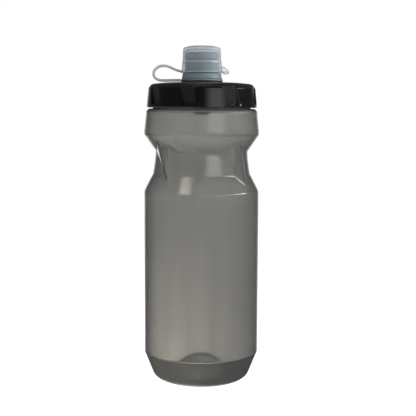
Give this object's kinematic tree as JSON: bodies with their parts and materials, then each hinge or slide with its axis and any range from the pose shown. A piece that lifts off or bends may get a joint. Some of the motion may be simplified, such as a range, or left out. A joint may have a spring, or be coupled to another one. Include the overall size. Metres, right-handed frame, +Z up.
{
  "type": "cycling water bottle",
  "caption": "Squeezable translucent drinking bottle with a grip waist, a ribbed screw lid, a twist-lock soft nozzle and a tethered clear dust cap.",
  "frame": {"origin": "centre of the foot ring's plane, on the bottle's axis", "axes": "+Z up the bottle's axis, +X towards the dust cap's pull tab, -Y is the front"},
  "size_m": [0.074, 0.074, 0.2145],
  "materials": {
    "smoke_plastic": "translucent smoke grey, satin",
    "black_plastic": "moulded black, semi-gloss",
    "seal_silicone": "soft translucent silicone",
    "stem_plastic": "moulded dark plastic",
    "ring_rubber": "black rubber",
    "collar_plastic": "blue-grey plastic, satin",
    "mouth_silicone": "blue-grey silicone, satin",
    "valve_silicone": "pale blue-grey silicone",
    "clear_plastic": "frosted clear plastic",
    "tether_plastic": "flexible whitish plastic"
  },
  "bodies": {
    "bottle": {"bottle_body": "smoke_plastic"},
    "seal": {"lid_seal": "seal_silicone"},
    "lid": {"lid": "black_plastic", "valve_stem": "stem_plastic", "stem_o_ring": "ring_rubber", "tether_ring": "tether_plastic", "tether_strap": "tether_plastic"},
    "nozzle": {"nozzle_base": "collar_plastic", "base_o_ring": "ring_rubber", "mouthpiece": "mouth_silicone", "slit_valve": "valve_silicone"},
    "dust_cap": {"dust_cap": "clear_plastic"}
  },
  "joints": [
    {"name": "lid_rise", "type": "slide", "parent": "bottle", "child": "seal", "axis": [0, 0, 1], "range_m": [0, 0.02]},
    {"name": "lid_turn", "type": "hinge", "parent": "seal", "child": "lid", "pos_m": [0, 0, 0.1756], "axis": [0, 0, 1], "range_deg": [0, 1440]},
    {"name": "nozzle_twist", "type": "hinge", "parent": "lid", "child": "nozzle", "pos_m": [0, 0, 0.1937], "axis": [0, 0, 1], "range_deg": [0, 90]},
    {"name": "dust_cap_lift", "type": "slide", "parent": "lid", "child": "dust_cap", "axis": [0, 0, 1], "range_m": [0, 0.0145], "deforming": ["tether_strap"]}
  ],
  "couplings": [
    {"joint": "lid_rise", "follows": "lid_turn", "m_per_rad": 0.00079577}
  ]
}
